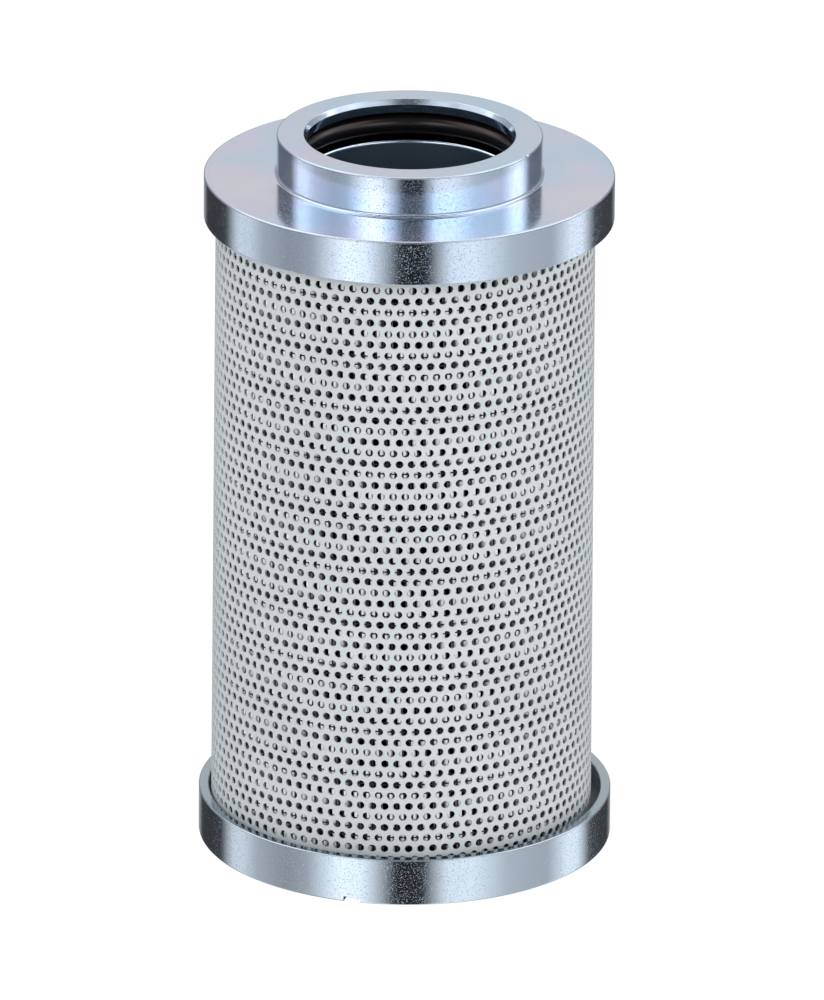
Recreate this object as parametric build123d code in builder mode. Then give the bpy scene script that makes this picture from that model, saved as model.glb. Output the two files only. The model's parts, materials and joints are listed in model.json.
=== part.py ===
from build123d import *
from math import cos, isclose, radians, sin
import os

# Pleated hydraulic filter element, standing on its closed end cap.
# Origin at the centre of the bottom face, +Z up along the cap axis, front towards -Y. Millimetres.

# Whole element
overall_height = 123.5

# Open top end cap, turned steel
cap_radius = 34.0
cap_wall = 1.7
top_skirt_height = 7.4
flange_thickness = 3.0
collar_radius = 22.0
collar_height = 6.8
collar_foot_flare = 0.4
collar_wall = 4.9
bore_chamfer = 0.5
guide_wall = 1.4
collar_chamfer = 0.25

# Seal ring and its groove in the bore
cord_diameter = 3.5
ring_sides = 6
ring_protrusion = 0.2
ring_clearance = 0.05
groove_width = 4.8
groove_drop = 2.3

# Closed bottom end cap
bottom_cap_overhang = 0.6
bottom_cap_height = 8.0
bottom_wall = 1.7
bottom_floor = 2.2
notch_width = 2.9
notch_height = 0.9
notch_depth = 1.5
notch_angle = -104.4

# Adhesive that bonds the pack into each cap
potting_thickness = 2.5

# Core tube that keeps the pack from collapsing
core_clearance = 0.1
core_wall = 1.0
core_slot_width = 4.0
core_slot_height = 30.0
core_slot_columns = 6
core_slot_rows = 2

# Pleated pack, potted slightly off the cap axis
pack_offset = 0.6
pack_clearance = 0.15
wrap_thickness = 0.3
crest_clearance = 0.05
pleat_count = 102
web_thickness = 0.4
seam_slit = 0.3

# Staggered gaps of the outer wrap, each one standing for a patch of the sheet's fine perforation
gap_columns = 12
gap_rows = 6
gap_width = 2.6
gap_margin = 5.0

# Heights that follow
flange_top = overall_height - collar_height
flange_underside = flange_top - flange_thickness
skirt_bottom = flange_top - top_skirt_height
groove_top = overall_height - groove_drop
groove_bottom = groove_top - groove_width
pack_bottom = bottom_floor + potting_thickness
pack_top = flange_underside - potting_thickness
pack_height = pack_top - pack_bottom
core_height = flange_underside - bottom_floor

# Radii that follow
bore_radius = collar_radius - collar_wall
skirt_inner_radius = cap_radius - cap_wall
bottom_cap_radius = cap_radius + bottom_cap_overhang
bottom_inner_radius = bottom_cap_radius - bottom_wall
ring_inner_radius = bore_radius - ring_protrusion
ring_centre_radius = ring_inner_radius + cord_diameter / 2
groove_radius = ring_inner_radius + cord_diameter + ring_clearance
guide_radius = bore_radius + guide_wall
core_inner_radius = guide_radius + core_clearance
core_radius = core_inner_radius + core_wall
wrap_radius = skirt_inner_radius - pack_offset - pack_clearance
wrap_inner_radius = wrap_radius - wrap_thickness
crest_radius = wrap_inner_radius - crest_clearance
root_radius = core_radius + pack_offset + core_clearance

pitch_angle = 360 / pleat_count
seam_angle = 90 - 90 % pitch_angle + pitch_angle / 2
pack_plane = Plane(origin=(-pack_offset, 0, pack_bottom))


def circle_edges(part, radius, height):
    """The round edges of a turned part with this radius at this height."""
    return part.edges().filter_by(GeomType.CIRCLE).filter_by(
        lambda edge: isclose(edge.radius, radius, abs_tol=0.01)
        and isclose(edge.arc_center.Z, height, abs_tol=0.01)
    )


def polar_point(radius, angle, sideways=0.0):
    """The point at this radius and angle in degrees, moved sideways along the tangent."""
    across = radians(angle)
    return (
        radius * cos(across) - sideways * sin(across),
        radius * sin(across) + sideways * cos(across),
    )


def outer_folds():
    """Outside of the folded web: a flat crest, then a tight valley, for each pleat."""
    points = []
    for pleat in range(pleat_count):
        angle = pleat * pitch_angle
        points.append(polar_point(crest_radius, angle, -web_thickness))
        points.append(polar_point(crest_radius, angle, web_thickness))
        points.append(polar_point(root_radius + web_thickness, angle + pitch_angle / 2))
    return points


def inner_folds():
    """Inside of the folded web: a tight crease under each crest, then a flat root."""
    points = []
    for pleat in range(pleat_count):
        angle = pleat * pitch_angle
        points.append(polar_point(crest_radius - web_thickness, angle))
        points.append(polar_point(root_radius, angle + pitch_angle / 2, -web_thickness))
        points.append(polar_point(root_radius, angle + pitch_angle / 2, web_thickness))
    return points


def seam_outline():
    """Section of the seam bead: as wide as the valley's mouth, tapering to the slit at the root."""
    next_crest = seam_angle + pitch_angle / 2
    last_crest = seam_angle - pitch_angle / 2
    return [
        polar_point(root_radius, seam_angle, -seam_slit / 2),
        polar_point(crest_radius, last_crest, web_thickness),
        polar_point(crest_radius, next_crest, -web_thickness),
        polar_point(root_radius, seam_angle, seam_slit / 2),
    ]


# Open end cap: skirt, flange, collar and guide sleeve turned from one blank
with BuildPart() as top_end_cap:
    with BuildSketch(Plane.XZ):
        with BuildLine():
            Polyline(
                (bore_radius, skirt_bottom),
                (guide_radius, skirt_bottom),
                (guide_radius, flange_underside),
                (skirt_inner_radius, flange_underside),
                (skirt_inner_radius, skirt_bottom),
                (cap_radius, skirt_bottom),
                (cap_radius, flange_top),
                (collar_radius, flange_top),
                (collar_radius, overall_height),
                (bore_radius, overall_height),
                (bore_radius, groove_top),
                (groove_radius, groove_top),
                (groove_radius, groove_bottom),
                (bore_radius, groove_bottom),
                close=True,
            )
        make_face()
    revolve(axis=Axis.Z)
    chamfer(circle_edges(top_end_cap, collar_radius, flange_top), collar_foot_flare)
    chamfer(circle_edges(top_end_cap, collar_radius, overall_height), collar_chamfer)
    chamfer(circle_edges(top_end_cap, bore_radius, overall_height), bore_chamfer)

# Seal ring in the groove, standing a little proud of the bore. Its round section has ring_sides flats.
with BuildPart() as o_ring:
    with BuildSketch(Plane.XZ):
        with Locations((ring_centre_radius, (groove_top + groove_bottom) / 2)):
            RegularPolygon(
                cord_diameter / 2, ring_sides, major_radius=False, rotation=180 / ring_sides
            )
    revolve(axis=Axis.Z)

# Closed end cap: a shallow turned cup with a locating notch in its lower edge
with BuildPart() as bottom_end_cap:
    with BuildSketch(Plane.XY):
        Circle(bottom_cap_radius)
    extrude(amount=bottom_cap_height)
    with BuildSketch(Plane.XY.offset(bottom_floor)):
        Circle(bottom_inner_radius)
    extrude(amount=bottom_cap_height - bottom_floor, mode=Mode.SUBTRACT)
    with PolarLocations(bottom_cap_radius, 1, start_angle=notch_angle):
        Box(2 * notch_depth, notch_width, 2 * notch_height, mode=Mode.SUBTRACT)

# Adhesive beds, poured between the core tube and each cap's wall
with BuildPart() as top_potting:
    with BuildSketch(Plane.XY.offset(pack_top)):
        Circle(skirt_inner_radius)
        Circle(core_radius, mode=Mode.SUBTRACT)
    extrude(amount=potting_thickness)

with BuildPart() as bottom_potting:
    with BuildSketch(Plane.XY.offset(bottom_floor)):
        Circle(bottom_inner_radius)
        Circle(core_radius, mode=Mode.SUBTRACT)
    extrude(amount=potting_thickness)

# Slotted core tube, from cap to cap, round the top cap's guide sleeve
with BuildPart() as core_tube:
    with BuildSketch(Plane.XY.offset(bottom_floor)):
        Circle(core_radius)
        Circle(core_inner_radius, mode=Mode.SUBTRACT)
    extrude(amount=core_height)
    for row in range(core_slot_rows):
        row_height = pack_bottom + pack_height * (row + 0.5) / core_slot_rows
        row_turn = (row % 2) * 180 / core_slot_columns
        with Locations((0, 0, row_height)):
            with PolarLocations(core_radius, core_slot_columns, start_angle=row_turn):
                Box(4 * core_wall, core_slot_width, core_slot_height, mode=Mode.SUBTRACT)

# Filter web folded into pleats round the core tube, open at the seam
with BuildPart() as pleated_media:
    with BuildSketch(pack_plane):
        with BuildLine():
            Polyline(*outer_folds(), close=True)
        make_face()
        with BuildLine():
            Polyline(*inner_folds(), close=True)
        make_face(mode=Mode.SUBTRACT)
        with BuildLine():
            Polyline(*seam_outline(), close=True)
        make_face(mode=Mode.SUBTRACT)
    extrude(amount=pack_height)

# Adhesive bead that closes the web into a ring
with BuildPart() as seam_bead:
    with BuildSketch(pack_plane):
        with BuildLine():
            Polyline(*seam_outline(), close=True)
        make_face()
    extrude(amount=pack_height)

# One gap of the wrap, lying along +X from the wrap's axis
with BuildPart() as wrap_gap:
    with BuildSketch(Plane.YZ):
        Rectangle(gap_width, gap_width)
    extrude(amount=cap_radius)

# Perforated outer wrap round the pleat crests
with BuildPart() as outer_wrap:
    with BuildSketch(pack_plane):
        Circle(wrap_radius)
        Circle(wrap_inner_radius, mode=Mode.SUBTRACT)
    extrude(amount=pack_height)
    row_pitch = (pack_height - 2 * gap_margin - gap_width) / (gap_rows - 1)
    for row in range(gap_rows):
        row_height = pack_bottom + gap_margin + gap_width / 2 + row * row_pitch
        row_turn = (row % 2) * 180 / gap_columns
        with Locations((-pack_offset, 0, row_height)):
            with PolarLocations(0, gap_columns, start_angle=row_turn):
                add(wrap_gap.part, mode=Mode.SUBTRACT)

top_end_cap.part.label = "top_end_cap"
o_ring.part.label = "o_ring"
bottom_end_cap.part.label = "bottom_end_cap"
top_potting.part.label = "top_potting"
bottom_potting.part.label = "bottom_potting"
core_tube.part.label = "core_tube"
pleated_media.part.label = "pleated_media"
seam_bead.part.label = "seam_bead"
outer_wrap.part.label = "outer_wrap"

os.makedirs("parts", exist_ok=True)
export_step(top_end_cap.part, "parts/top_end_cap.step")
export_step(o_ring.part, "parts/o_ring.step")
export_step(bottom_end_cap.part, "parts/bottom_end_cap.step")
export_step(top_potting.part, "parts/top_potting.step")
export_step(bottom_potting.part, "parts/bottom_potting.step")
export_step(core_tube.part, "parts/core_tube.step")
export_step(pleated_media.part, "parts/pleated_media.step")
export_step(seam_bead.part, "parts/seam_bead.step")
export_step(outer_wrap.part, "parts/outer_wrap.step")
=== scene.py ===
import json
from math import cos, pi, radians, sin, sqrt, tan

import bmesh
import bpy
from mathutils import Matrix, Vector


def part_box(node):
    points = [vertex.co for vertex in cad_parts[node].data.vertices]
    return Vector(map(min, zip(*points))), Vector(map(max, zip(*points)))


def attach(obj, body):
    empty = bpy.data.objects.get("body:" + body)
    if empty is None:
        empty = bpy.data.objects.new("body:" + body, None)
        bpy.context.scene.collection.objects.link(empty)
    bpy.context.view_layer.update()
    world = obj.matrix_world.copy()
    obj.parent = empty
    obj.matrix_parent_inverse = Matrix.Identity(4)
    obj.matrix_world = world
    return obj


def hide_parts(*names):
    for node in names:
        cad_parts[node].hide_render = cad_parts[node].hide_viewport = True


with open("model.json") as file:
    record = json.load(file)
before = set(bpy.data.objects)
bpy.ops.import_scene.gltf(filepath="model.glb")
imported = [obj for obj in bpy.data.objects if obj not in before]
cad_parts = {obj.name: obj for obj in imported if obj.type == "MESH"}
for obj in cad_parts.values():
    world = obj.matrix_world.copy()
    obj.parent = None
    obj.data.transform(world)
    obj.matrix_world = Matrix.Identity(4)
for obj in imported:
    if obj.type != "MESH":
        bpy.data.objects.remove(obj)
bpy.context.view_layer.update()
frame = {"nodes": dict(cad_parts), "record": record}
print("frame loaded:", sorted(frame["nodes"]))

millimetre = 0.001
scene = bpy.context.scene
mountDims = {mount["name"]: mount["dims"] for mount in frame["record"]["mounts"]}


# Places and sizes read from the frame

topLow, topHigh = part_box("top_end_cap")
baseLow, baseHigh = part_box("bottom_end_cap")
wrapLow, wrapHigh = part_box("outer_wrap")
webLow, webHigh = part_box("pleated_media")
ringLow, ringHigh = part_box("o_ring")
coreLow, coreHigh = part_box("core_tube")
bottomBedLow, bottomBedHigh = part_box("bottom_potting")
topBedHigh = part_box("top_potting")[1]

capRadius = topHigh.x
baseRadius = baseHigh.x
boreRadius = mountDims["spigot_bore"]["r_mm"] * millimetre
collarRadius = mountDims["collar_outside"]["r_mm"] * millimetre
overallHeight = topHigh.z
coreRadius = (coreHigh.x - coreLow.x) / 2
packCentreX = (wrapLow.x + wrapHigh.x) / 2
wrapRadius = (wrapHigh.x - wrapLow.x) / 2
crestRadius = (webHigh.x - webLow.x) / 2
packBottom = wrapLow.z
packTop = wrapHigh.z
packHeight = packTop - packBottom

# the pack and its wrap are a little fuller at the foot than at the head: Flare is what their radius gains
# at the foot, and Taper what it loses with each unit of height
flare = {"Flare": 0.38 * millimetre, "Taper": 0.0048}


# Objects and meshes

def addObject(name, data):
    thing = bpy.data.objects.new(name, data)
    scene.collection.objects.link(thing)
    return thing


def meshFrom(name, form):
    # puts a bmesh form into a mesh, with its faces outwards, which needs up-to-date normals
    form.normal_update()
    bmesh.ops.recalc_face_normals(form, faces=form.faces)
    mesh = bpy.data.meshes.new(name)
    form.to_mesh(mesh)
    form.free()
    return mesh


def closedBar(form, sections):
    # joins a row of four-cornered sections into one bar with closed ends
    for first, second in zip(sections, sections[1:]):
        for corner in range(4):
            following = (corner + 1) % 4
            form.faces.new((first[corner], second[corner], second[following], first[following]))
    form.faces.new(sections[0])
    form.faces.new(sections[-1])


def packPoint(reach, angle, height, aside=0.0):
    # angle runs round the pack's axis from the front. reach is how far out the point would be at the
    # pack's foot, and aside shifts it along the tangent.
    narrowed = reach - (height - packBottom) * flare["Taper"]
    return (
        packCentreX + narrowed * sin(angle) + aside * cos(angle),
        -narrowed * cos(angle) + aside * sin(angle),
        height,
    )


def settle(piece):
    # puts a piece's modifiers into its mesh
    evaluated = piece.evaluated_get(bpy.context.evaluated_depsgraph_get())
    mesh = bpy.data.meshes.new_from_object(evaluated)
    piece.modifiers.clear()
    piece.data = mesh


def printTriangles(piece):
    print(piece.name, "triangles", sum(len(face.vertices) - 2 for face in piece.data.polygons))


# Nodes, for shader trees and geometry trees alike

def feed(tree, node, inputs):
    # each input, by its name or number, takes a plain value or the socket that feeds it
    for name, value in inputs.items():
        socket = node.inputs[name]
        if isinstance(value, bpy.types.NodeSocket):
            tree.links.new(value, socket)
        elif socket.type == "RGBA":
            socket.default_value = (*value, 1)
        else:
            socket.default_value = value


def addNode(tree, kind, inputs=None, **settings):
    node = tree.nodes.new(kind)
    for key, value in settings.items():
        setattr(node, key, value)
    feed(tree, node, inputs or {})
    return node


def mathOf(tree, operation, first, second=None):
    inputs = {0: first} if second is None else {0: first, 1: second}
    return addNode(tree, "ShaderNodeMath", inputs, operation=operation).outputs["Value"]


def vectorOf(tree, parts):
    return addNode(tree, "ShaderNodeCombineXYZ", parts).outputs["Vector"]


def partsOf(tree, vector):
    return addNode(tree, "ShaderNodeSeparateXYZ", {"Vector": vector}).outputs


def noiseOf(tree, scale, detail=2.0, stretch=(1, 1, 1), roughness=0.5):
    coordinates = addNode(tree, "ShaderNodeTexCoord")
    mapping = addNode(tree, "ShaderNodeMapping", {
        "Vector": coordinates.outputs["Object"], "Scale": stretch})
    noise = addNode(tree, "ShaderNodeTexNoise", {
        "Vector": mapping.outputs["Vector"], "Scale": scale, "Detail": detail, "Roughness": roughness})
    return noise.outputs["Fac"]


def rampOf(tree, source, stops):
    # stops: (place from 0 to 1, colour)
    ramp = addNode(tree, "ShaderNodeValToRGB", {"Fac": source})
    elements = ramp.color_ramp.elements
    while len(elements) < len(stops):
        elements.new(0.5)
    for element, (place, colour) in zip(elements, stops):
        element.position = place
        element.color = (*colour, 1.0)
    return ramp.outputs["Color"]


def rangeOf(tree, source, low, high, first=0.0, last=1.0):
    spread = addNode(tree, "ShaderNodeMapRange", {
        "Value": source, "From Min": low, "From Max": high, "To Min": first, "To Max": last})
    return spread.outputs["Result"]


def tintOf(tree, factor, first, second):
    # first and second are colours, or sockets that give one
    mix = addNode(tree, "ShaderNodeMix", {"Factor": factor}, data_type="RGBA")
    coloured = [place for place, socket in enumerate(mix.inputs) if socket.type == "RGBA"]
    feed(tree, mix, dict(zip(coloured, (first, second))))
    return next(socket for socket in mix.outputs if socket.type == "RGBA")


# Finishes

def newMaterial(name):
    material = bpy.data.materials.new(name)
    material.use_nodes = True
    tree = material.node_tree
    return material, tree, tree.nodes["Principled BSDF"]


def bumpOf(tree, shader, height, strength, distance):
    bump = addNode(tree, "ShaderNodeBump", {"Strength": strength, "Distance": distance, "Height": height})
    feed(tree, shader, {"Normal": bump.outputs["Normal"]})


def radiusAndHeight(tree, centreX=0.0):
    coordinates = addNode(tree, "ShaderNodeTexCoord")
    x, y, height = partsOf(tree, coordinates.outputs["Object"])
    across = mathOf(tree, "SUBTRACT", x, centreX)
    square = mathOf(tree, "ADD", mathOf(tree, "MULTIPLY", across, across), mathOf(tree, "MULTIPLY", y, y))
    return mathOf(tree, "SQRT", square), height


def zincPlate():
    # upright faces and level faces each have their own tint; the bore below the ring takes a darker tint as
    # painted shade, and the ring's groove a near-black tint as painted shadow
    settings = {
        "cloud": 52.0,
        "cloudTints": [
            (0.34, (0.52, 0.66, 0.81)), (0.47, (0.57, 0.67, 0.80)),
            (0.58, (0.66, 0.65, 0.79)), (0.68, (0.67, 0.69, 0.76))],
        "head": (0.57, 0.67, 0.81),
        "foot": (0.57, 0.67, 0.78),
        "footToHead": (10 * millimetre, 100 * millimetre),
        "rim": (0.36, 0.43, 0.48),
        "levelNormal": (0.6, 0.9),
        "boreShadeTint": (0.30, 0.42, 0.52),
        "boreEdge": 0.9 * millimetre,
        "boreBelowRing": 0.8 * millimetre,
        "grooveShadowTint": (0.03, 0.03, 0.035),
        "grooveEdge": 0.2 * millimetre,
        "grooveBeyondRing": 0.3 * millimetre,
        "roughness": (0.09, 0.17),
        "boreRoughness": 0.40,
        "grain": 4600.0,
        "grainRange": (0.3, 0.7),
        "pits": (0.60, 0.74),
        "bump": (0.5, 0.03 * millimetre),
    }
    material, tree, shader = newMaterial("zincPlate")
    radius, height = radiusAndHeight(tree)
    surface = addNode(tree, "ShaderNodeNewGeometry")
    upward = rangeOf(tree, partsOf(tree, surface.outputs["Normal"])["Z"], *settings["levelNormal"])
    towardsHead = rangeOf(tree, height, *settings["footToHead"])
    upright = tintOf(tree, towardsHead, settings["foot"], settings["head"])
    flangeTint = rampOf(tree, noiseOf(tree, settings["cloud"]), settings["cloudTints"])
    level = tintOf(tree, towardsHead, settings["rim"], flangeTint)
    outer = tintOf(tree, upward, upright, level)

    # painted shade: the bore below the ring is darkened to a dim teal, standing in for the shade deep in the
    # bore
    inBore = mathOf(tree, "MULTIPLY",
                    mathOf(tree, "LESS_THAN", radius, boreRadius + settings["boreEdge"]),
                    mathOf(tree, "LESS_THAN", height, ringLow.z - settings["boreBelowRing"]))
    shadedBore = tintOf(tree, inBore, outer, settings["boreShadeTint"])
    # painted shadow: beside and behind the ring, the groove is painted near black
    beyond = settings["grooveBeyondRing"]
    besideRing = mathOf(tree, "MULTIPLY",
                        mathOf(tree, "GREATER_THAN", height, ringLow.z - beyond),
                        mathOf(tree, "LESS_THAN", height, ringHigh.z + beyond))
    inGroove = mathOf(tree, "MULTIPLY", besideRing,
                      mathOf(tree, "LESS_THAN", radius, ringHigh.x + settings["grooveEdge"]))
    grain = noiseOf(tree, settings["grain"], roughness=0.7)
    fine = rangeOf(tree, grain, *settings["grainRange"], *settings["roughness"])
    coarse = mathOf(tree, "MULTIPLY", inBore, settings["boreRoughness"])
    feed(tree, shader, {
        "Metallic": 1.0,
        "Base Color": tintOf(tree, inGroove, shadedBore, settings["grooveShadowTint"]),
        "Roughness": mathOf(tree, "MAXIMUM", fine, coarse),
    })
    bumpOf(tree, shader, rangeOf(tree, grain, *settings["pits"]), *settings["bump"])
    return material


def sealRubber():
    settings = {"grain": (900.0, 3.0), "bump": (0.15, 0.05 * millimetre)}
    material, tree, shader = newMaterial("sealRubber")
    feed(tree, shader, {
        "Base Color": (0.006, 0.005, 0.006),
        "Roughness": 0.26,
        "Specular IOR Level": 0.5,
        "Specular Tint": (1.0, 0.86, 0.84),
    })
    bumpOf(tree, shader, noiseOf(tree, *settings["grain"]), *settings["bump"])
    return material


def wrapSheet():
    settings = {
        "cloud": 45.0,
        "face": [(0.35, (0.56, 0.595, 0.615)), (0.65, (0.60, 0.635, 0.655))],
        "grain": 3000.0,
        "bump": (0.2, 0.03 * millimetre),
    }
    material, tree, shader = newMaterial("wrapSheet")
    feed(tree, shader, {
        "Base Color": rampOf(tree, noiseOf(tree, settings["cloud"]), settings["face"]),
        "Roughness": 0.5,
        "Specular IOR Level": 0.5,
    })
    bumpOf(tree, shader, noiseOf(tree, settings["grain"]), *settings["bump"])
    return material


def filterWeb():
    # pale fibres on the crests, and painted shade between them: the web darkens to near black towards the
    # roots
    settings = {
        "fibres": (1600.0, 4.0, (1.0, 1.0, 0.35), 0.7),
        "crest": [(0.30, (0.90, 0.84, 0.85)), (0.60, (0.98, 0.95, 0.95))],
        "valley": (0.012, 0.010, 0.011),
        "dark": 1.1 * millimetre,
        "pale": 0.15 * millimetre,
        "bump": (0.5, 0.1 * millimetre),
    }
    material, tree, shader = newMaterial("filterWeb")
    fibres = noiseOf(tree, *settings["fibres"])
    radius, height = radiusAndHeight(tree, packCentreX)
    straightened = mathOf(tree, "ADD", radius, mathOf(tree, "MULTIPLY", height, flare["Taper"]))
    # painted shade: the web darkens with depth below its crests
    nearCrest = rangeOf(tree, straightened, crestRadius - settings["dark"], crestRadius - settings["pale"])
    crest = rampOf(tree, fibres, settings["crest"])
    feed(tree, shader, {
        "Base Color": tintOf(tree, nearCrest, settings["valley"], crest),
        "Roughness": 0.85,
        "Specular IOR Level": 0.15,
    })
    bumpOf(tree, shader, fibres, *settings["bump"])
    return material


def speckledFinish(name, noise, tints, bump, inputs):
    # one noise gives both the colour, between two tints, and the relief
    darkEnd, paleEnd = 0.3, 0.7
    material, tree, shader = newMaterial(name)
    grain = noiseOf(tree, *noise)
    tint = rampOf(tree, grain, [(darkEnd, tints[0]), (paleEnd, tints[1])])
    feed(tree, shader, {"Base Color": tint, **inputs})
    bumpOf(tree, shader, grain, *bump)
    return material


finishes = {
    "zinc_plated_steel": zincPlate(),
    "seal_rubber": sealRubber(),
    "wrap_sheet": wrapSheet(),
    "filter_web": filterWeb(),
    "potting_resin": speckledFinish(
        "pottingResin", (220.0, 3.0), ((0.020, 0.021, 0.023), (0.045, 0.046, 0.048)),
        (0.4, 0.3 * millimetre), {"Roughness": 0.45}),
    "core_steel": speckledFinish(
        "coreSteel", (1200.0, 3.0, (1, 1, 0.2)), ((0.42, 0.45, 0.48), (0.56, 0.59, 0.62)),
        (0.2, 0.04 * millimetre), {"Roughness": 0.38, "Metallic": 1.0}),
}
wireFinish = speckledFinish(
    "coatedWire", (2500.0, 2.0), ((0.004, 0.005, 0.006), (0.014, 0.015, 0.017)),
    (0.2, 0.03 * millimetre), {"Roughness": 0.4})
print("finishes made")


def finishPiece(piece, slot, *nodes, material=None):
    piece.data.materials.clear()
    piece.data.materials.append(material or finishes[slot])
    if nodes:
        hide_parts(*nodes)
    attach(piece, "root")


# Turned pieces

def roundedProfile(corners, steps=4, support=0.35, share=0.2):
    # each corner is (radius, height, edge radius). A support point beside each arc keeps the flats flat. It
    # stands this many edge radii from the arc, but at most this share of the way to the next corner.
    points = []
    for index, (x, z, edge) in enumerate(corners):
        here = Vector((x, z))
        if edge <= 0:
            points.append(here)
            continue
        before = Vector(corners[index - 1][:2]) - here
        after = Vector(corners[(index + 1) % len(corners)][:2]) - here
        inDirection = before.normalized()
        outDirection = after.normalized()
        turn = inDirection.angle(outDirection)
        reach = edge / tan(turn / 2)
        centre = here + (inDirection + outDirection).normalized() * (edge / sin(turn / 2))
        start = here + inDirection * reach
        end = here + outDirection * reach
        points.append(start + inDirection * min(edge * support, before.length * share))
        first = start - centre
        sweep = first.angle_signed(end - centre)
        for step in range(steps + 1):
            angle = -sweep * step / steps
            points.append(centre + Vector((
                first.x * cos(angle) - first.y * sin(angle),
                first.x * sin(angle) + first.y * cos(angle))))
        points.append(end + outDirection * min(edge * support, after.length * share))
    return points


def turnedMesh(name, profile, segments, closed=True):
    # closed: the profile is a loop off the axis; open: its two ends lie on the axis
    onAxis = 1e-7
    form = bmesh.new()
    rings = []
    for radius, height in profile:
        if radius < onAxis:
            rings.append([form.verts.new((0, 0, height))])
            continue
        turns = [2 * pi * step / segments for step in range(segments)]
        rings.append([form.verts.new((radius * cos(turn), radius * sin(turn), height)) for turn in turns])
    following = rings[1:] + rings[:1] if closed else rings[1:]
    for low, high in zip(rings, following):
        for here in range(segments):
            beside = (here + 1) % segments
            corners = [low[here % len(low)], low[beside % len(low)],
                       high[beside % len(high)], high[here % len(high)]]
            face = list(dict.fromkeys(corners))
            if len(face) > 2:
                form.faces.new(face)
    mesh = meshFrom(name, form)
    mesh.shade_smooth()
    return mesh


def cutAway(piece, place, ball=False):
    # takes a box, or a ball, with this placement out of the piece
    sharpFrom = radians(35)
    form = bmesh.new()
    if ball:
        bmesh.ops.create_icosphere(form, subdivisions=3, radius=1.0)
    else:
        bmesh.ops.create_cube(form, size=1.0)
    form.transform(place)
    cutterMesh = meshFrom("cutter", form)
    cutter = addObject("cutter", cutterMesh)
    cut = piece.modifiers.new("cut", "BOOLEAN")
    cut.object = cutter
    cut.operation = "DIFFERENCE"
    cut.solver = "EXACT"
    settle(piece)
    piece.data.set_sharp_from_angle(angle=sharpFrom)
    bpy.data.objects.remove(cutter)
    bpy.data.meshes.remove(cutterMesh)


def topEndCap():
    cap = {
        "collarHeight": 6.8 * millimetre,
        "edge": 0.28 * millimetre,
        "fineEdge": 0.10 * millimetre,
        "footFillet": 0.45 * millimetre,
        "guideInCore": 1.1 * millimetre,
        "mouthWidth": 0.45 * millimetre,
        "mouthHeight": 0.85 * millimetre,
        "lipEdge": 0.5 * millimetre,
        "grooveBeyondRing": 0.38 * millimetre,
        "grooveBehindRing": 0.05 * millimetre,
        "knockAngle": -28.0,
        "knockRadius": 0.8 * millimetre,
        "knockOut": 0.42 * millimetre,
        "segments": 256,
    }
    flangeTop = topHigh.z - cap["collarHeight"]
    guideRadius = coreRadius - cap["guideInCore"]
    skirtInner = topBedHigh.x
    grooveBottom = ringLow.z - cap["grooveBeyondRing"]
    grooveTop = ringHigh.z + cap["grooveBeyondRing"]
    grooveRadius = ringHigh.x + cap["grooveBehindRing"]
    fine = cap["fineEdge"]
    corners = [
        (boreRadius, topLow.z, fine),
        (guideRadius, topLow.z, fine),
        (guideRadius, topBedHigh.z, fine),
        (skirtInner, topBedHigh.z, fine),
        (skirtInner, topLow.z, fine),
        (capRadius, topLow.z, fine),
        (capRadius, flangeTop, cap["edge"]),
        (collarRadius, flangeTop, cap["footFillet"]),
        (collarRadius, topHigh.z, cap["edge"]),
        (boreRadius + cap["mouthWidth"], topHigh.z, fine),
        (boreRadius, topHigh.z - cap["mouthHeight"], fine),
        (boreRadius, grooveTop, fine),
        (grooveRadius, grooveTop, fine),
        (grooveRadius, grooveBottom, fine),
        (boreRadius, grooveBottom, cap["lipEdge"]),
    ]
    mesh = turnedMesh("topEndCap", roundedProfile(corners), cap["segments"])
    piece = addObject("topEndCap", mesh)
    # a small knock on the collar's outer edge
    centre = (collarRadius + cap["knockOut"], 0, topHigh.z + cap["knockOut"])
    cutAway(piece, Matrix.Rotation(radians(cap["knockAngle"]), 4, "Z")
            @ Matrix.Translation(centre)
            @ Matrix.Diagonal((*[cap["knockRadius"]] * 3, 1)), ball=True)
    finishPiece(piece, "zinc_plated_steel", "top_end_cap")


def bottomEndCap():
    cap = {
        "edge": 0.22 * millimetre,
        "notchWidth": 2.9 * millimetre,
        "notchHeight": 0.9 * millimetre,
        "notchDepth": 1.5 * millimetre,
        "notchAngle": -104.4,
        "segments": 256,
    }
    floorTop = bottomBedLow.z
    innerRadius = bottomBedHigh.x
    corners = [
        (0.0, baseLow.z, 0),
        (baseRadius, baseLow.z, cap["edge"]),
        (baseRadius, baseHigh.z, cap["edge"]),
        (innerRadius, baseHigh.z, cap["edge"]),
        (innerRadius, floorTop, cap["edge"]),
        (0.0, floorTop, 0),
    ]
    mesh = turnedMesh("bottomEndCap", roundedProfile(corners), cap["segments"], closed=False)
    piece = addObject("bottomEndCap", mesh)
    cutAway(piece, Matrix.Rotation(radians(cap["notchAngle"]), 4, "Z")
            @ Matrix.Translation((baseRadius, 0, 0))
            @ Matrix.Diagonal((2 * cap["notchDepth"], cap["notchWidth"], 2 * cap["notchHeight"], 1)))
    finishPiece(piece, "zinc_plated_steel", "bottom_end_cap")


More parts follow.
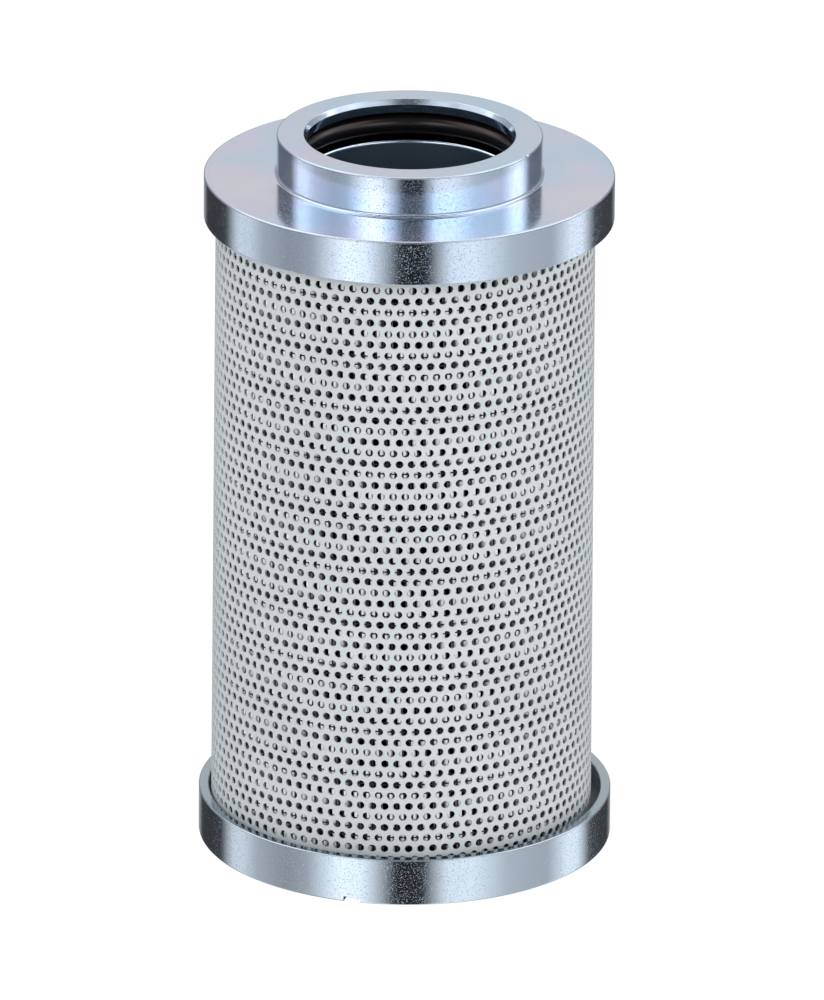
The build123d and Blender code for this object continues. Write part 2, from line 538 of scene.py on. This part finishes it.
def sealRing():
    sizes = {"around": 224, "section": 40, "solidSides": 6}
    # the solid's section has flats at its sides and a corner on top, so the cord is narrower than it is high
    cord = (ringHigh.z - ringLow.z) / 2 * cos(pi / sizes["solidSides"])
    centreRadius = ringHigh.x - cord
    centreHeight = (ringHigh.z + ringLow.z) / 2
    turns = [2 * pi * step / sizes["section"] for step in range(sizes["section"])]
    profile = [Vector((centreRadius + cord * cos(turn), centreHeight + cord * sin(turn))) for turn in turns]
    mesh = turnedMesh("sealRing", profile, sizes["around"])
    finishPiece(addObject("sealRing", mesh), "seal_rubber", "o_ring")


topEndCap()
bottomEndCap()
sealRing()
print("turned pieces made")


# Geometry Nodes helpers

def nodeGroup(name, inputs):
    # inputs: socket names and their kinds, followed by those that every tree needs for its bend and finish
    shared = {"Radius": "Float", "Turn": "Float", "Flare": "Float", "Taper": "Float",
              "Centre X": "Float", "Base Height": "Float", "Finish": "Material"}
    tree = bpy.data.node_groups.new(name, "GeometryNodeTree")
    tree.interface.new_socket(name="Geometry", in_out="OUTPUT", socket_type="NodeSocketGeometry")
    identifiers = {}
    for label, kind in {**inputs, **shared}.items():
        socket = tree.interface.new_socket(name=label, in_out="INPUT", socket_type="NodeSocket" + kind)
        identifiers[label] = socket.identifier
    return tree, addNode(tree, "NodeGroupInput").outputs, identifiers


def builtBy(name, tree, identifiers, values):
    # every tree takes the pack's flare and centre as well as these values
    piece = addObject(name, bpy.data.meshes.new(name))
    modifier = piece.modifiers.new("build", "NODES")
    modifier.node_group = tree
    for label, value in {**values, **flare, "Centre X": packCentreX}.items():
        modifier[identifiers[label]] = value
    settle(piece)
    return piece


def meshLine(tree, count, offset, start=(0, 0, 0)):
    line = addNode(tree, "GeometryNodeMeshLine", {
        "Count": count, "Offset": offset, "Start Location": start}, mode="OFFSET")
    return line.outputs["Mesh"]


def copiesOn(tree, points, piece):
    spread = addNode(tree, "GeometryNodeInstanceOnPoints", {"Points": points, "Instance": piece})
    return spread.outputs["Instances"]


def joined(tree, *geometries):
    everything = addNode(tree, "GeometryNodeJoinGeometry")
    for geometry in geometries:
        feed(tree, everything, {"Geometry": geometry})
    return everything.outputs["Geometry"]


def realized(tree, instances):
    return addNode(tree, "GeometryNodeRealizeInstances", {"Geometry": instances}).outputs["Geometry"]


def welded(tree, geometry, distance):
    weld = addNode(tree, "GeometryNodeMergeByDistance", {"Geometry": geometry, "Distance": distance})
    return weld.outputs["Geometry"]


def wrapRound(tree, geometry, given, lean=None, rise=None):
    # bends a flat field round the pack's axis: X runs round it, Y up it, Z out from its radius.
    # lean carries X along with Y, rise carries Y along with X, and the radius shrinks from foot to head.
    position = addNode(tree, "GeometryNodeInputPosition")
    across, up, out = partsOf(tree, position.outputs["Position"])
    if lean is not None:
        across = mathOf(tree, "ADD", across, mathOf(tree, "MULTIPLY", up, lean))
    if rise is not None:
        up = mathOf(tree, "ADD", up, mathOf(tree, "MULTIPLY", across, rise))
    angle = mathOf(tree, "ADD", mathOf(tree, "DIVIDE", across, given["Radius"]), given["Turn"])
    foot = mathOf(tree, "ADD", given["Radius"], given["Flare"])
    narrowed = mathOf(tree, "SUBTRACT", foot, mathOf(tree, "MULTIPLY", up, given["Taper"]))
    reach = mathOf(tree, "ADD", out, narrowed)
    sideways = mathOf(tree, "MULTIPLY", reach, mathOf(tree, "SINE", angle))
    forward = mathOf(tree, "MULTIPLY", reach, mathOf(tree, "COSINE", angle))
    bent = vectorOf(tree, {
        "X": mathOf(tree, "ADD", sideways, given["Centre X"]),
        "Y": mathOf(tree, "MULTIPLY", forward, -1.0),
        "Z": mathOf(tree, "ADD", up, given["Base Height"])})
    place = addNode(tree, "GeometryNodeSetPosition", {"Geometry": geometry, "Position": bent})
    return place.outputs["Geometry"]


def closeTree(tree, given, geometry, smooth=True):
    last = geometry
    if smooth:
        last = addNode(tree, "GeometryNodeSetShadeSmooth", {"Geometry": last}).outputs["Geometry"]
    paint = addNode(tree, "GeometryNodeSetMaterial", {"Geometry": last, "Material": given["Finish"]})
    addNode(tree, "NodeGroupOutput", {"Geometry": paint.outputs["Geometry"]})


# Perforated outer wrap

sheet = {
    "holesAround": 99,
    "rowPitch": 1.8905 * millimetre,
    "rows": 54,
    "firstRow": 2.365 * millimetre,
    "turn": 0.0111,
    "holeDiameter": 1.34 * millimetre,
    "thickness": 0.28 * millimetre,
    "holeSides": 12,
    "weld": 0.02 * millimetre,
}
# the sheet is rolled one row out of true, so its rows climb by one row pitch in a turn
sheetRise = sheet["rowPitch"] / (2 * pi * wrapRadius)
# the top and bottom corners of a cell are this share of a row pitch from its middle
cornerShare = 2 / 3


def perforatedCell(tree, given):
    # a flat six-sided cell, a pitch wide and standing on a corner, with a round hole
    rim = addNode(tree, "GeometryNodeMeshCircle", {"Vertices": 6, "Radius": 1.0})
    upright = addNode(tree, "GeometryNodeTransform", {
        "Geometry": rim.outputs["Mesh"], "Rotation": (0, 0, radians(30))})
    factor = vectorOf(tree, {
        "X": mathOf(tree, "DIVIDE", given["Pitch"], sqrt(3)),
        "Y": mathOf(tree, "MULTIPLY", given["Row Pitch"], cornerShare),
        "Z": 1.0})
    cell = addNode(tree, "GeometryNodeTransform", {
        "Geometry": upright.outputs["Geometry"], "Scale": factor})
    hole = addNode(tree, "GeometryNodeMeshCircle", {
        "Vertices": given["Hole Sides"],
        "Radius": mathOf(tree, "DIVIDE", given["Hole Diameter"], 2.0)})
    outline = joined(tree, cell.outputs["Geometry"], hole.outputs["Mesh"])
    curve = addNode(tree, "GeometryNodeMeshToCurve", {"Mesh": outline})
    return addNode(tree, "GeometryNodeFillCurve", {"Curve": curve.outputs["Curve"]}).outputs["Mesh"]


def thickened(tree, face, depth):
    # gives a flat field this depth, downwards, and closes it
    push = addNode(tree, "GeometryNodeExtrudeMesh", {
        "Mesh": face,
        "Offset": vectorOf(tree, {"Z": mathOf(tree, "MULTIPLY", depth, -1.0)}),
        "Offset Scale": 1.0,
        "Individual": False}, mode="FACES")
    flip = addNode(tree, "GeometryNodeFlipFaces", {"Mesh": push.outputs["Mesh"]})
    return welded(tree, joined(tree, flip.outputs["Mesh"], face), sheet["weld"])


def perforationTree():
    tree, given, identifiers = nodeGroup("perforatedSheet", {
        "Hole Diameter": "Float", "Hole Sides": "Int", "Pitch": "Float", "Row Pitch": "Float",
        "Columns": "Int", "Rows": "Int", "First Column": "Int", "Sheet": "Float", "Rise": "Float"})
    pitch = given["Pitch"]
    rowPitch = given["Row Pitch"]

    # a row of cells, then the rows above each other, each odd row half a pitch along
    columns = meshLine(tree, given["Columns"], vectorOf(tree, {"X": pitch}),
                       vectorOf(tree, {"X": mathOf(tree, "MULTIPLY", pitch, given["First Column"])}))
    rows = meshLine(tree, given["Rows"], vectorOf(tree, {"Y": rowPitch}),
                    vectorOf(tree, {"Y": mathOf(tree, "MULTIPLY", rowPitch, cornerShare)}))
    index = addNode(tree, "GeometryNodeInputIndex")
    odd = mathOf(tree, "MODULO", index.outputs["Index"], 2.0)
    slide = vectorOf(tree, {"X": mathOf(tree, "MULTIPLY", odd, mathOf(tree, "MULTIPLY", pitch, 0.5))})
    stagger = addNode(tree, "GeometryNodeSetPosition", {"Geometry": rows, "Offset": slide})
    rowOfCells = copiesOn(tree, columns, perforatedCell(tree, given))
    field = copiesOn(tree, stagger.outputs["Geometry"], rowOfCells)

    face = welded(tree, realized(tree, field), sheet["weld"])
    plate = thickened(tree, face, given["Sheet"])
    closeTree(tree, given, wrapRound(tree, plate, given, rise=given["Rise"]), smooth=False)
    return tree, identifiers


def outerWrap():
    # name, first column counted from the front, number of columns
    panels = (("outerWrapFront", -25, 50), ("outerWrapRight", 25, 25), ("outerWrapLeft", -49, 24))
    tree, identifiers = perforationTree()
    for name, first, columns in panels:
        panel = builtBy(name, tree, identifiers, {
            "Hole Diameter": sheet["holeDiameter"],
            "Hole Sides": sheet["holeSides"],
            "Pitch": 2 * pi * wrapRadius / sheet["holesAround"],
            "Row Pitch": sheet["rowPitch"],
            "Columns": columns,
            "Rows": sheet["rows"],
            "First Column": first,
            "Sheet": sheet["thickness"],
            "Rise": sheetRise,
            "Radius": wrapRadius,
            "Turn": sheet["turn"],
            "Base Height": packBottom + sheet["firstRow"] - sheet["rowPitch"] * cornerShare,
            "Finish": finishes["wrap_sheet"],
        })
        panel.data.shade_flat()
        finishPiece(panel, "wrap_sheet", "outer_wrap")
        printTriangles(panel)


def wrapHems():
    # the sheet's plain edges below the first row of holes and above the last, just inside the cells' own
    # face, and the lap at the back where its ends meet. The lap's width is counted in columns of holes.
    hem = {
        "stations": 256,
        "sweep": 0.9998,
        "inset": 0.02 * millimetre,
        "lapColumn": 49.75,
        "lapHalfWidth": 0.42,
        "lapLevels": 12,
        "lapInset": 0.04 * millimetre,
        "lapFoot": 0.02,
        "lapShare": 0.96,
    }
    outer = wrapRadius + flare["Flare"]
    holeRadius = sheet["holeDiameter"] / 2
    firstRow = packBottom + sheet["firstRow"]
    lastRow = firstRow + (sheet["rows"] - 1) * sheet["rowPitch"]
    form = bmesh.new()

    outside = outer - hem["inset"]
    inside = outside - sheet["thickness"]
    for fixed, moving in ((packBottom, firstRow - holeRadius), (packTop, lastRow + holeRadius)):
        stations = []
        for station in range(hem["stations"] + 1):
            angle = pi * hem["sweep"] * (2 * station / hem["stations"] - 1)
            turned = angle + sheet["turn"]
            climbing = moving + angle * wrapRadius * sheetRise
            corners = ((outside, fixed), (outside, climbing), (inside, climbing), (inside, fixed))
            stations.append([
                form.verts.new(packPoint(reach, turned, height)) for reach, height in corners])
        closedBar(form, stations)

    outside = outer - hem["lapInset"]
    inside = outside - sheet["thickness"]
    column = 2 * pi / sheet["holesAround"]
    left = sheet["turn"] + column * (hem["lapColumn"] - hem["lapHalfWidth"])
    right = sheet["turn"] + column * (hem["lapColumn"] + hem["lapHalfWidth"])
    levels = []
    for level in range(hem["lapLevels"] + 1):
        height = packBottom + packHeight * (hem["lapFoot"] + hem["lapShare"] * level / hem["lapLevels"])
        corners = ((outside, left), (outside, right), (inside, right), (inside, left))
        levels.append([form.verts.new(packPoint(reach, angle, height)) for reach, angle in corners])
    closedBar(form, levels)
    finishPiece(addObject("wrapHems", meshFrom("wrapHems", form)), "wrap_sheet", "outer_wrap")


outerWrap()
wrapHems()
print("outer wrap made")


# Pleated pack

pack = {
    "pleats": 102,
    "lean": -0.033,
    "turn": -0.0098,
    "webThickness": 0.22 * millimetre,
    "rootClearance": 0.75 * millimetre,
    "levels": 9,
    "columnsPerPleat": 12.0,
    "wires": 154,
    "ringPitch": 1.57 * millimetre,
    "firstRing": 1.385 * millimetre,
    "wireRadius": 0.16 * millimetre,
    "wireSides": 4,
    "wireClearance": 0.03 * millimetre,
    "webOverCentre": 0.3,
    "weld": 0.01 * millimetre,
}
wireCentre = wrapRadius - sheet["thickness"] - pack["wireRadius"] - pack["wireClearance"]
# the wires are pressed part of the way into the web
visibleCrest = wireCentre + pack["wireRadius"] * pack["webOverCentre"]
rootRadius = coreRadius + pack["rootClearance"]


def foldOf(tree, aside):
    # how high the web stands over its root, from 0 to 1, where aside is 0 at a crest and 1 at a root
    shape = [(0.0, 1.0), (0.167, 0.9976), (0.333, 0.9894), (0.5, 0.965),
             (0.667, 0.12), (0.833, 0.02), (1.0, 0.0)]
    fold = addNode(tree, "ShaderNodeFloatCurve", {"Value": aside})
    curve = fold.mapping.curves[0]
    curve.points[0].location = shape[0]
    curve.points[1].location = shape[-1]
    for place in shape[1:-1]:
        curve.points.new(*place)
    for point in curve.points:
        point.handle_type = "VECTOR"
    fold.mapping.update()
    return fold.outputs["Value"]


def pleatTree():
    # without this, a column of points right on a root could round to either end of the phase's range
    nudge = 0.0005
    tree, given, identifiers = nodeGroup("pleatedWeb", {
        "Pleats": "Int", "Depth": "Float", "Height": "Float", "Levels": "Int", "Lean": "Float"})
    girth = mathOf(tree, "MULTIPLY", given["Radius"], 2 * pi)
    columns = mathOf(tree, "MULTIPLY", given["Pleats"], pack["columnsPerPleat"])
    grid = addNode(tree, "GeometryNodeMeshGrid", {
        "Size X": girth,
        "Size Y": given["Height"],
        "Vertices X": mathOf(tree, "ADD", columns, 1.0),
        "Vertices Y": given["Levels"]})
    position = addNode(tree, "GeometryNodeInputPosition")
    across = partsOf(tree, position.outputs["Position"])["X"]
    pleat = mathOf(tree, "MULTIPLY", mathOf(tree, "DIVIDE", across, girth), given["Pleats"])
    phase = mathOf(tree, "FRACT", mathOf(tree, "ADD", pleat, nudge))
    fromMiddle = mathOf(tree, "ABSOLUTE", mathOf(tree, "SUBTRACT", phase, 0.5))
    height = foldOf(tree, mathOf(tree, "MULTIPLY", fromMiddle, 2.0))
    sunk = mathOf(tree, "MULTIPLY", mathOf(tree, "SUBTRACT", height, 1.0), given["Depth"])
    lifted = mathOf(tree, "MULTIPLY", given["Height"], 0.5)
    fold = addNode(tree, "GeometryNodeSetPosition", {
        "Geometry": grid.outputs["Mesh"], "Offset": vectorOf(tree, {"Y": lifted, "Z": sunk})})
    bent = wrapRound(tree, fold.outputs["Geometry"], given, lean=given["Lean"])
    closeTree(tree, given, welded(tree, bent, pack["weld"]))
    return tree, identifiers


def pleatedWeb():
    tree, identifiers = pleatTree()
    piece = builtBy("pleatedWeb", tree, identifiers, {
        "Pleats": pack["pleats"],
        "Depth": visibleCrest - rootRadius,
        "Height": packHeight,
        "Levels": pack["levels"],
        "Lean": pack["lean"],
        "Radius": visibleCrest,
        "Turn": pack["turn"],
        "Base Height": packBottom,
        "Finish": finishes["filter_web"],
    })
    solid = piece.modifiers.new("thickness", "SOLIDIFY")
    solid.thickness = pack["webThickness"]
    solid.offset = -1.0
    settle(piece)
    finishPiece(piece, "filter_web", "pleated_media")
    printTriangles(piece)


def seamBead():
    # fills the valley at the back, leaning with the pleats
    bead = {
        "levels": 12,
        "outerHalf": 0.30 * millimetre,
        "innerHalf": 0.12 * millimetre,
        "sunk": 0.35 * millimetre,
    }
    outer = visibleCrest + flare["Flare"] - bead["sunk"]
    inner = rootRadius + flare["Flare"]
    corners = ((inner, -bead["innerHalf"]), (outer, -bead["outerHalf"]),
               (outer, bead["outerHalf"]), (inner, bead["innerHalf"]))
    form = bmesh.new()
    sections = []
    for level in range(bead["levels"] + 1):
        rise = packHeight * level / bead["levels"]
        angle = pi + pack["turn"] + rise * pack["lean"] / visibleCrest
        sections.append([
            form.verts.new(packPoint(reach, angle, packBottom + rise, aside)) for reach, aside in corners])
    closedBar(form, sections)
    finishPiece(addObject("seamBead", meshFrom("seamBead", form)), "potting_resin", "seam_bead")


def supportMeshTree():
    uprightSteps = 10
    tree, given, identifiers = nodeGroup("supportMesh", {
        "Wires": "Int", "Rings": "Int", "Ring Pitch": "Float", "Ring Steps": "Int", "Wire Radius": "Float",
        "Wire Sides": "Int", "Height": "Float", "First Ring": "Float", "Lean": "Float"})
    girth = mathOf(tree, "MULTIPLY", given["Radius"], 2 * pi)
    section = addNode(tree, "GeometryNodeCurvePrimitiveCircle", {
        "Resolution": given["Wire Sides"], "Radius": given["Wire Radius"]})

    def wireAlong(line, capped):
        path = addNode(tree, "GeometryNodeMeshToCurve", {"Mesh": line})
        tube = addNode(tree, "GeometryNodeCurveToMesh", {
            "Curve": path.outputs["Curve"],
            "Profile Curve": section.outputs["Curve"],
            "Fill Caps": capped})
        return tube.outputs["Mesh"]

    uprightStep = vectorOf(tree, {"Y": mathOf(tree, "DIVIDE", given["Height"], float(uprightSteps))})
    upright = wireAlong(meshLine(tree, uprightSteps + 1, uprightStep), True)
    wireStep = vectorOf(tree, {"X": mathOf(tree, "DIVIDE", girth, given["Wires"])})
    uprights = copiesOn(tree, meshLine(tree, given["Wires"], wireStep), upright)

    # a hoop's two ends meet when the field is bent round, and are welded there
    ringStep = vectorOf(tree, {"X": mathOf(tree, "DIVIDE", girth, given["Ring Steps"])})
    ringCount = mathOf(tree, "ADD", given["Ring Steps"], 1.0)
    hoop = wireAlong(meshLine(tree, ringCount, ringStep), False)
    hoopPlaces = meshLine(tree, given["Rings"], vectorOf(tree, {"Y": given["Ring Pitch"]}),
                          vectorOf(tree, {"Y": given["First Ring"]}))
    hoops = copiesOn(tree, hoopPlaces, hoop)

    field = realized(tree, joined(tree, uprights, hoops))
    bent = wrapRound(tree, field, given, lean=given["Lean"])
    closeTree(tree, given, welded(tree, bent, pack["weld"]))
    return tree, identifiers


def supportMesh():
    tree, identifiers = supportMeshTree()
    piece = builtBy("supportMesh", tree, identifiers, {
        "Wires": pack["wires"],
        "Rings": int((packHeight - pack["firstRing"]) / pack["ringPitch"]),
        "Ring Pitch": pack["ringPitch"],
        "Ring Steps": 2 * pack["pleats"],
        "Wire Radius": pack["wireRadius"],
        "Wire Sides": pack["wireSides"],
        "Height": packHeight,
        "First Ring": pack["firstRing"],
        "Lean": pack["lean"],
        "Radius": wireCentre,
        "Turn": pack["turn"],
        "Base Height": packBottom,
        "Finish": wireFinish,
    })
    # the record has no slot for coated wire; the dark resin's slot, which comes nearest, is passed, though
    # the piece takes the coated-wire finish
    finishPiece(piece, "potting_resin", material=wireFinish)
    printTriangles(piece)


pleatedWeb()
seamBead()
supportMesh()
print("pleated pack made")


# Pieces that keep their own solids

keptSolids = {"core_tube": "core_steel", "top_potting": "potting_resin", "bottom_potting": "potting_resin"}
for nodeName, slotName in keptSolids.items():
    solid = frame["nodes"][nodeName]
    solid.data.materials.clear()
    solid.data.materials.append(finishes[slotName])


# Floor, light and camera

def mixShaders(tree, factor, first, second):
    mix = addNode(tree, "ShaderNodeMixShader", {"Fac": factor, 1: first, 2: second})
    return mix.outputs["Shader"]


def paleFloor():
    # what the camera sees directly is mixed with a plain white, so that it reads white and keeps its shadow
    ground = {"half": 3.0, "colour": (0.94, 0.94, 0.94), "roughness": 0.9, "glow": 1.04, "whiteShare": 0.9}
    half = ground["half"]
    mesh = bpy.data.meshes.new("floor")
    mesh.from_pydata([(-half, -half, 0), (half, -half, 0), (half, half, 0), (-half, half, 0)],
                     [], [(0, 1, 2, 3)])
    floor = addObject("floor", mesh)
    material, tree, shader = newMaterial("floorWhite")
    feed(tree, shader, {"Base Color": ground["colour"], "Roughness": ground["roughness"]})
    path = addNode(tree, "ShaderNodeLightPath")
    glow = addNode(tree, "ShaderNodeEmission", {"Color": (1, 1, 1), "Strength": ground["glow"]})
    share = mathOf(tree, "MULTIPLY", path.outputs["Is Camera Ray"], ground["whiteShare"])
    whitened = mixShaders(tree, share, shader.outputs["BSDF"], glow.outputs["Emission"])
    feed(tree, tree.nodes["Material Output"], {"Surface": whitened})
    mesh.materials.append(material)
    floor.visible_glossy = False


def ringOfLight(tree, turn, bands):
    # bands: (degrees round from the front, brightness), joined by straight ramps
    return rampOf(tree, turn, [((angle + 180) / 360, (level, level, level)) for angle, level in bands])


def studioWorld():
    # a light tent as polished metal sees it: soft panels and dark gaps round the object, a softer ring
    # above, and a grey band at the horizon. Heights are the upward part of the direction looked in.
    tent = {
        "ambient": 0.42,
        "ambientColour": (0.95, 0.98, 1.0),
        "around": [
            (-180, 0.38), (-168, 0.42), (-158, 0.05), (-124, 0.05), (-112, 0.98), (-102, 0.98),
            (-90, 0.57), (-70, 0.4), (-56, 0.5), (-36, 1.5), (-24, 1.42), (-5.5, 0.02),
            (11, 0.02), (24, 1.2), (38, 1.24), (60, 0.68), (88, 0.54), (104, 1.26),
            (114, 1.26), (127, 0.07), (159, 0.05), (172, 0.44), (180, 0.38)],
        "above": [
            (-180, 0.56), (-130, 0.56), (-110, 0.8), (-70, 0.8), (-52, 0.08),
            (52, 0.08), (70, 0.73), (110, 0.73), (130, 0.53), (180, 0.56)],
        "aboveFrom": (0.42, 0.62),
        "horizonFoot": (-0.22, -0.14),
        "horizonHead": (0.315, 0.285),
        "horizonGrey": (0.27, 0.27, 0.27),
        "strengthHeights": (-0.1, 0.2),
        "strength": (1.0, 2.15),
    }
    world = bpy.data.worlds.new("studio")
    scene.world = world
    world.use_nodes = True
    tree = world.node_tree
    coordinates = addNode(tree, "ShaderNodeTexCoord")
    x, y, height = partsOf(tree, coordinates.outputs["Generated"])
    angle = mathOf(tree, "ARCTAN2", x, mathOf(tree, "MULTIPLY", y, -1.0))
    turn = mathOf(tree, "ADD", mathOf(tree, "DIVIDE", angle, 2 * pi), 0.5)
    around = ringOfLight(tree, turn, tent["around"])
    above = ringOfLight(tree, turn, tent["above"])
    sides = tintOf(tree, rangeOf(tree, height, *tent["aboveFrom"]), around, above)
    inBand = mathOf(tree, "MULTIPLY",
                    rangeOf(tree, height, *tent["horizonFoot"]),
                    rangeOf(tree, height, *tent["horizonHead"]))
    tentLight = addNode(tree, "ShaderNodeBackground", {
        "Color": tintOf(tree, inBand, sides, tent["horizonGrey"]),
        "Strength": rangeOf(tree, height, *tent["strengthHeights"], *tent["strength"])})
    ambient = addNode(tree, "ShaderNodeBackground", {
        "Color": tent["ambientColour"], "Strength": tent["ambient"]})
    white = tree.nodes["Background"]
    feed(tree, white, {"Color": (1, 1, 1), "Strength": 1.0})
    path = addNode(tree, "ShaderNodeLightPath")
    unseen = mixShaders(tree, path.outputs["Is Glossy Ray"],
                        ambient.outputs["Background"], tentLight.outputs["Background"])
    lit = mixShaders(tree, path.outputs["Is Camera Ray"], unseen, white.outputs["Background"])
    feed(tree, tree.nodes["World Output"], {"Surface": lit})


def softLamps():
    # each lamp has its place, size and power, and faces the middle of the element
    lamps = {
        "keyLamp": ((-0.60, -0.65, 0.70), (0.7, 0.7), 5.2),
        "fillLamp": ((0.80, -0.50, 0.40), (0.6, 0.8), 4.2),
        "topLamp": ((0.0, 0.15, 0.9), (0.8, 0.8), 3.3),
    }
    middle = Vector((0, 0, overallHeight / 2))
    for name, (place, size, power) in lamps.items():
        data = bpy.data.lights.new(name, "AREA")
        data.shape = "RECTANGLE"
        data.size, data.size_y = size
        data.energy = power
        lamp = addObject(name, data)
        lamp.location = place
        lamp.rotation_euler = (middle - Vector(place)).to_track_quat("-Z", "Y").to_euler()
        lamp.visible_glossy = False


def frontCamera():
    # a long lens far off, looking down on the element with a slight roll
    lens = {
        "focal": 486.0,
        "sensor": 36.0,
        "distance": 2.2518,
        "farthest": 20.0,
        "elevation": 20.954,
        "roll": 0.467,
        "aimX": 0.00085,
        "aimZ": 0.05876,
    }
    tilt = radians(lens["elevation"])
    forward = Vector((0, cos(tilt), -sin(tilt)))
    right = Vector((1, 0, 0))
    up = right.cross(forward)
    turn = radians(lens["roll"])
    sideways = right * cos(turn) + up * sin(turn)
    upright = up * cos(turn) - right * sin(turn)
    data = bpy.data.cameras.new("camera")
    data.lens = lens["focal"]
    data.sensor_width = lens["sensor"]
    data.sensor_fit = "AUTO"
    data.clip_end = lens["farthest"]
    camera = addObject("camera", data)
    camera.location = Vector((lens["aimX"], 0, lens["aimZ"])) - forward * lens["distance"]
    camera.rotation_euler = Matrix((sideways, upright, -forward)).transposed().to_euler()
    scene.camera = camera


paleFloor()
studioWorld()
softLamps()
frontCamera()
scene.view_settings.view_transform = "Standard"
print("stage, light and camera set")
